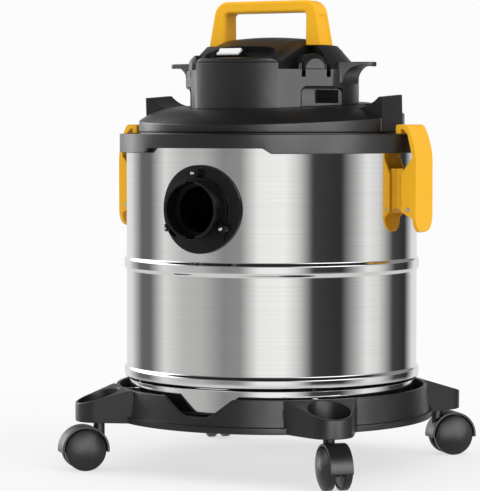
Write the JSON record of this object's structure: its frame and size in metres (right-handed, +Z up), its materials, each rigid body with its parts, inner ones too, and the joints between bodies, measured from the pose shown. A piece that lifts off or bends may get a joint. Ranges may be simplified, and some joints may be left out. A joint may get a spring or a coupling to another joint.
{
  "type": "shop vacuum",
  "caption": "Wet and dry shop vacuum with a stainless steel drum, clamped lid with a carrying handle and rocker switch, front hose inlet and a wheeled base on twin-wheel casters",
  "frame": {"origin": "On the floor under the drum's axis, at the bottom centre of the bounding box", "axes": "-Y is the front, out of the hose inlet; +X is the right-hand latch seen from the front; +Z is up"},
  "size_m": [0.344, 0.3389, 0.477],
  "materials": {
    "stainless": "brushed round the drum, near mirror bright",
    "charcoal_plastic": "fine moulded grain, satin",
    "black_plastic": "smooth moulding, satin",
    "amber_plastic": "smooth moulding, semi-gloss",
    "wheel_plastic": "moulded, low sheen",
    "fastener_steel": "bright plated",
    "white_plastic": "smooth, slight gloss",
    "seal_rubber": "matt",
    "filter_paper": "fibrous pleated sheet",
    "fan_metal": "spun and pressed sheet",
    "motor_paint": "satin paint",
    "float_plastic": "smooth, slight gloss"
  },
  "bodies": {
    "machine": {"dolly_base": "charcoal_plastic", "tank_drum": "stainless", "tank_floor": "stainless", "inlet_port": "black_plastic", "inlet_gasket": "seal_rubber", "inlet_elbow": "black_plastic", "inlet_screws": "fastener_steel", "latch_bracket_right": "amber_plastic", "latch_bracket_left": "amber_plastic", "latch_rivets": "fastener_steel", "latch_pins": "fastener_steel", "lid": "charcoal_plastic", "lid_seal": "seal_rubber", "motor_plate": "black_plastic", "plate_screws": "fastener_steel", "motor_housing": "charcoal_plastic", "cord_gland": "seal_rubber", "exhaust_grille_right": "black_plastic", "exhaust_grille_left": "black_plastic", "top_cover": "charcoal_plastic", "switch_housing": "black_plastic", "carry_handle": "amber_plastic", "handle_screws": "fastener_steel", "fan_shroud": "fan_metal", "motor_can": "motor_paint", "motor_bearings": "fastener_steel", "filter_cage": "black_plastic", "filter_top_cap": "seal_rubber", "filter_bottom_cap": "seal_rubber", "filter_pleats": "filter_paper", "filter_retainer": "black_plastic"},
    "right_latch": {"latch_lever_right": "amber_plastic"},
    "left_latch": {"latch_lever_left": "amber_plastic"},
    "power_rocker": {"switch_rocker": "white_plastic"},
    "rotor": {"motor_shaft": "fastener_steel", "impeller": "fan_metal", "cooling_fan": "black_plastic"},
    "shutoff_float": {"float_cup": "float_plastic"},
    "caster_rear_right": {"caster_hood_rear_right": "charcoal_plastic", "caster_stem_rear_right": "fastener_steel", "caster_axle_rear_right": "fastener_steel"},
    "wheel_a_rear_right_body": {"wheel_a_rear_right": "wheel_plastic"},
    "wheel_b_rear_right_body": {"wheel_b_rear_right": "wheel_plastic"},
    "caster_rear_left": {"caster_hood_rear_left": "charcoal_plastic", "caster_stem_rear_left": "fastener_steel", "caster_axle_rear_left": "fastener_steel"},
    "wheel_a_rear_left_body": {"wheel_a_rear_left": "wheel_plastic"},
    "wheel_b_rear_left_body": {"wheel_b_rear_left": "wheel_plastic"},
    "caster_front_left": {"caster_hood_front_left": "charcoal_plastic", "caster_stem_front_left": "fastener_steel", "caster_axle_front_left": "fastener_steel"},
    "wheel_a_front_left_body": {"wheel_a_front_left": "wheel_plastic"},
    "wheel_b_front_left_body": {"wheel_b_front_left": "wheel_plastic"},
    "caster_front_right": {"caster_hood_front_right": "charcoal_plastic", "caster_stem_front_right": "fastener_steel", "caster_axle_front_right": "fastener_steel"},
    "wheel_a_front_right_body": {"wheel_a_front_right": "wheel_plastic"},
    "wheel_b_front_right_body": {"wheel_b_front_right": "wheel_plastic"}
  },
  "joints": [
    {"name": "right_latch_hinge", "type": "hinge", "parent": "machine", "child": "right_latch", "pos_m": [0.1631, 0, 0.2656], "axis": [0, 1, 0], "range_deg": [0, 35]},
    {"name": "left_latch_hinge", "type": "hinge", "parent": "machine", "child": "left_latch", "pos_m": [-0.1631, 0, 0.2656], "axis": [0, -1, 0], "range_deg": [0, 35]},
    {"name": "power_rocker_hinge", "type": "hinge", "parent": "machine", "child": "power_rocker", "pos_m": [-0.012, -0.06718, 0.41974], "axis": [-1, 0, 0], "range_deg": [0, 16]},
    {"name": "rotor_spin", "type": "hinge", "parent": "machine", "child": "rotor", "pos_m": [0, 0, 0.349], "axis": [0, 0, 1], "continuous": true},
    {"name": "float_lift", "type": "slide", "parent": "machine", "child": "shutoff_float", "axis": [0, 0, 1], "range_m": [0, 0.024]},
    {"name": "caster_swivel_rear_right", "type": "hinge", "parent": "machine", "child": "caster_rear_right", "pos_m": [0.13011, 0.13011, 0.05], "axis": [0, 0, 1], "continuous": true},
    {"name": "wheel_a_roll_rear_right", "type": "hinge", "parent": "caster_rear_right", "child": "wheel_a_rear_right_body", "pos_m": [0.14142, 0.14142, 0.021], "axis": [-0.7071, 0.7071, 0], "continuous": true},
    {"name": "wheel_b_roll_rear_right", "type": "hinge", "parent": "caster_rear_right", "child": "wheel_b_rear_right_body", "pos_m": [0.14142, 0.14142, 0.021], "axis": [-0.7071, 0.7071, 0], "continuous": true},
    {"name": "caster_swivel_rear_left", "type": "hinge", "parent": "machine", "child": "caster_rear_left", "pos_m": [-0.13011, 0.13011, 0.05], "axis": [0, 0, 1], "continuous": true},
    {"name": "wheel_a_roll_rear_left", "type": "hinge", "parent": "caster_rear_left", "child": "wheel_a_rear_left_body", "pos_m": [-0.14142, 0.14142, 0.021], "axis": [-0.7071, -0.7071, 0], "continuous": true},
    {"name": "wheel_b_roll_rear_left", "type": "hinge", "parent": "caster_rear_left", "child": "wheel_b_rear_left_body", "pos_m": [-0.14142, 0.14142, 0.021], "axis": [-0.7071, -0.7071, 0], "continuous": true},
    {"name": "caster_swivel_front_left", "type": "hinge", "parent": "machine", "child": "caster_front_left", "pos_m": [-0.13011, -0.13011, 0.05], "axis": [0, 0, 1], "continuous": true},
    {"name": "wheel_a_roll_front_left", "type": "hinge", "parent": "caster_front_left", "child": "wheel_a_front_left_body", "pos_m": [-0.14142, -0.14142, 0.021], "axis": [0.7071, -0.7071, 0], "continuous": true},
    {"name": "wheel_b_roll_front_left", "type": "hinge", "parent": "caster_front_left", "child": "wheel_b_front_left_body", "pos_m": [-0.14142, -0.14142, 0.021], "axis": [0.7071, -0.7071, 0], "continuous": true},
    {"name": "caster_swivel_front_right", "type": "hinge", "parent": "machine", "child": "caster_front_right", "pos_m": [0.13011, -0.13011, 0.05], "axis": [0, 0, 1], "continuous": true},
    {"name": "wheel_a_roll_front_right", "type": "hinge", "parent": "caster_front_right", "child": "wheel_a_front_right_body", "pos_m": [0.14142, -0.14142, 0.021], "axis": [0.7071, 0.7071, 0], "continuous": true},
    {"name": "wheel_b_roll_front_right", "type": "hinge", "parent": "caster_front_right", "child": "wheel_b_front_right_body", "pos_m": [0.14142, -0.14142, 0.021], "axis": [0.7071, 0.7071, 0], "continuous": true}
  ]
}
